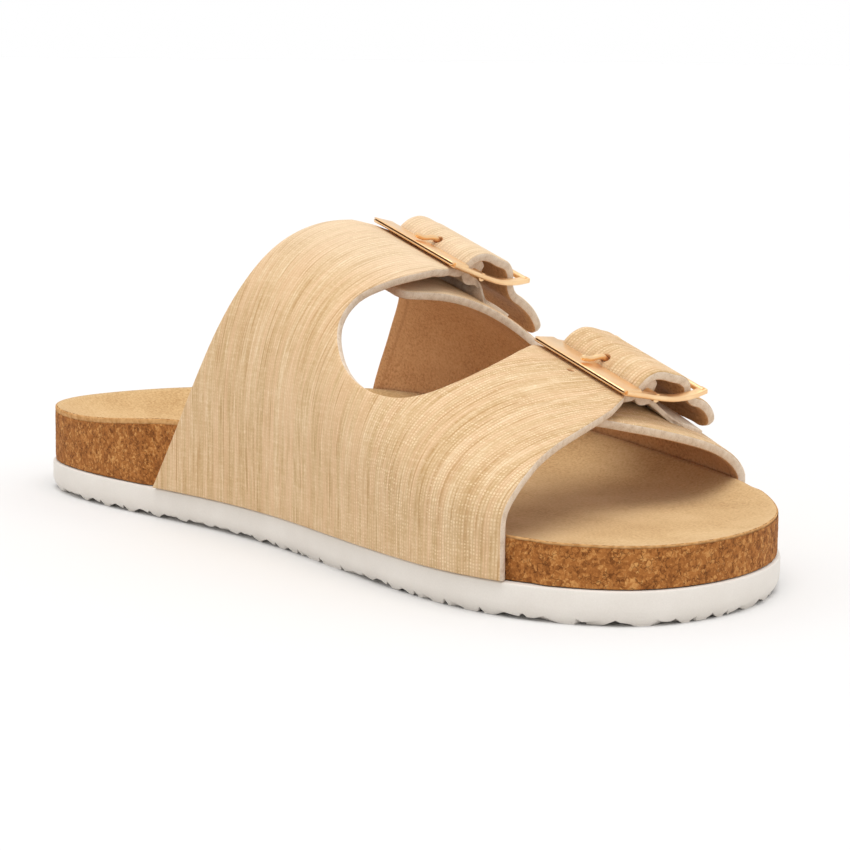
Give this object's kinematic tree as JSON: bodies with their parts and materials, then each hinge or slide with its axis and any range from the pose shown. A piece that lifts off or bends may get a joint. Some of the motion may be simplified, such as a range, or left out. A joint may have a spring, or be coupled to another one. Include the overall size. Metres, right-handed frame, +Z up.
{
  "type": "double-buckle sandal",
  "caption": "Left slip-on sandal with a woven straw upper, buckled straps over the foot, a cork footbed and a white lugged outsole.",
  "frame": {"origin": "centre of the shoe's own outline on the floor it stands on", "axes": "+X from the heel to the toe, +Y to the outer side of the foot, +Z up"},
  "size_m": [0.25, 0.1016, 0.0787],
  "materials": {
    "sole_rubber": "matt",
    "cork": "matt",
    "suede": "matt",
    "woven_straw": "satin",
    "buckle_metal": "satin"
  },
  "bodies": {
    "root": {"outsole": "sole_rubber", "cork_footbed": "cork", "insole": "suede", "upper": "woven_straw", "rear_buckle_frame": "buckle_metal", "rear_buckle_prong": "buckle_metal", "front_buckle_frame": "buckle_metal", "front_buckle_prong": "buckle_metal"}
  },
  "joints": []
}
